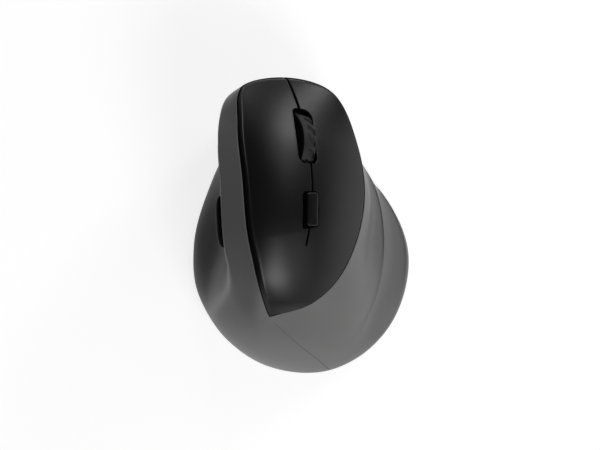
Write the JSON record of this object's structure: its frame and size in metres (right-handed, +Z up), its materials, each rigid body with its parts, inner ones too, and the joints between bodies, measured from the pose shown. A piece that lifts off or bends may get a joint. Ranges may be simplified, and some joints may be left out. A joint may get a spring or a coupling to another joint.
{
  "type": "vertical ergonomic mouse",
  "caption": "Right-handed vertical computer mouse: tilted leaf-shaped cover with two finger buttons, scroll wheel, speed and thumb buttons over flanged shells.",
  "frame": {"origin": "middle of the body's plan, on the desk under the glide feet", "axes": "+Y to the front, +X to the finger side (right), +Z up"},
  "size_m": [0.0874, 0.1178, 0.0586],
  "materials": {
    "shell": "fine matt texture, dark grey",
    "cover": "satin black",
    "small_button": "semi-gloss black",
    "tyre": "matt rubber with a tread",
    "hub": "moulded",
    "base": "fine matt texture",
    "foot": "smooth low-friction",
    "frame": "moulded",
    "board": "dark solder mask",
    "switch": "moulded",
    "plunger": "moulded",
    "lens": "clear moulded optic",
    "steel": "plated",
    "cell": "plain sleeve",
    "cable": "insulation"
  },
  "bodies": {
    "case": {"left_shell": "shell", "right_shell": "shell", "base_plate": "base", "glide_feet": "foot", "palm_cover": "cover", "yoke_pin": "steel", "inner_frame": "frame", "upper_board": "board", "left_switch": "switch", "right_switch": "switch", "wheel_switch": "switch", "dpi_switch": "switch", "encoder_emitter": "lens", "encoder_receiver": "switch", "side_board": "board", "thumb_switches": "switch", "main_board": "board", "controller_chip": "switch", "sensor_chip": "switch", "sensor_lens": "lens", "power_switch": "switch", "flex_cable": "cable", "battery": "cell", "contact_spring": "steel", "contact_plate": "steel", "case_screws": "steel", "board_screws": "steel"},
    "left_button": {"left_button": "cover"},
    "right_button": {"right_button": "cover"},
    "left_plunger": {"left_plunger": "plunger"},
    "right_plunger": {"right_plunger": "plunger"},
    "dpi_button": {"dpi_button": "small_button"},
    "forward_button": {"forward_button": "small_button"},
    "back_button": {"back_button": "small_button"},
    "yoke": {"wheel_yoke": "hub"},
    "wheel": {"wheel_tyre": "tyre", "wheel_hub": "hub", "wheel_axle": "steel"},
    "power_slider": {"power_slider": "base"},
    "battery_door": {"battery_door": "base"}
  },
  "joints": [
    {"name": "left_button_press", "type": "hinge", "parent": "case", "child": "left_button", "pos_m": [-0.00878, -0.00933, 0.05279], "axis": [-0.957, -0.0533, 0.2853], "range_deg": [0, 0.7], "stiffness_Nm_per_rad": 2.8, "springref_deg": -0.11},
    {"name": "right_button_press", "type": "hinge", "parent": "case", "child": "right_button", "pos_m": [0.01035, -0.00829, 0.04072], "axis": [-0.7191, -0.0379, 0.6939], "range_deg": [0, 0.7], "stiffness_Nm_per_rad": 2.8, "springref_deg": -0.11},
    {"name": "left_plunger_press", "type": "slide", "parent": "case", "child": "left_plunger", "axis": [-0.5112, -0.3309, -0.7932], "range_m": [0, 0.0009]},
    {"name": "right_plunger_press", "type": "slide", "parent": "case", "child": "right_plunger", "axis": [-0.5112, -0.3309, -0.7932], "range_m": [0, 0.0009]},
    {"name": "dpi_press", "type": "slide", "parent": "case", "child": "dpi_button", "axis": [-0.5832, -0.0164, -0.8122], "range_m": [0, 0.0005], "stiffness_N_per_m": 3000, "springref_m": -0.0001},
    {"name": "forward_press", "type": "slide", "parent": "case", "child": "forward_button", "axis": [1, 0, 0], "range_m": [0, 0.0004], "stiffness_N_per_m": 2500, "springref_m": -0.0001},
    {"name": "back_press", "type": "slide", "parent": "case", "child": "back_button", "axis": [1, 0, 0], "range_m": [0, 0.0004], "stiffness_N_per_m": 2500, "springref_m": -0.0001},
    {"name": "wheel_press", "type": "hinge", "parent": "case", "child": "yoke", "pos_m": [-0.00605, 0.0467, 0.03191], "axis": [0.8505, -0.0617, -0.5224], "range_deg": [0, 1.6], "stiffness_Nm_per_rad": 0.5, "springref_deg": -0.23},
    {"name": "wheel_spin", "type": "hinge", "parent": "yoke", "child": "wheel", "pos_m": [-0.00325, 0.03216, 0.03818], "axis": [0.8505, -0.0617, -0.5224], "continuous": true},
    {"name": "power_slide", "type": "slide", "parent": "case", "child": "power_slider", "axis": [1, 0, 0], "range_m": [0, 0.003]},
    {"name": "battery_door_swing", "type": "hinge", "parent": "case", "child": "battery_door", "pos_m": [-0.0012, -0.0199, 0.0023], "axis": [1, 0, 0], "range_deg": [0, 80]}
  ],
  "couplings": [
    {"joint": "left_plunger_press", "follows": "left_button_press", "m_per_rad": 0.044765},
    {"joint": "right_plunger_press", "follows": "right_button_press", "m_per_rad": 0.041889}
  ]
}
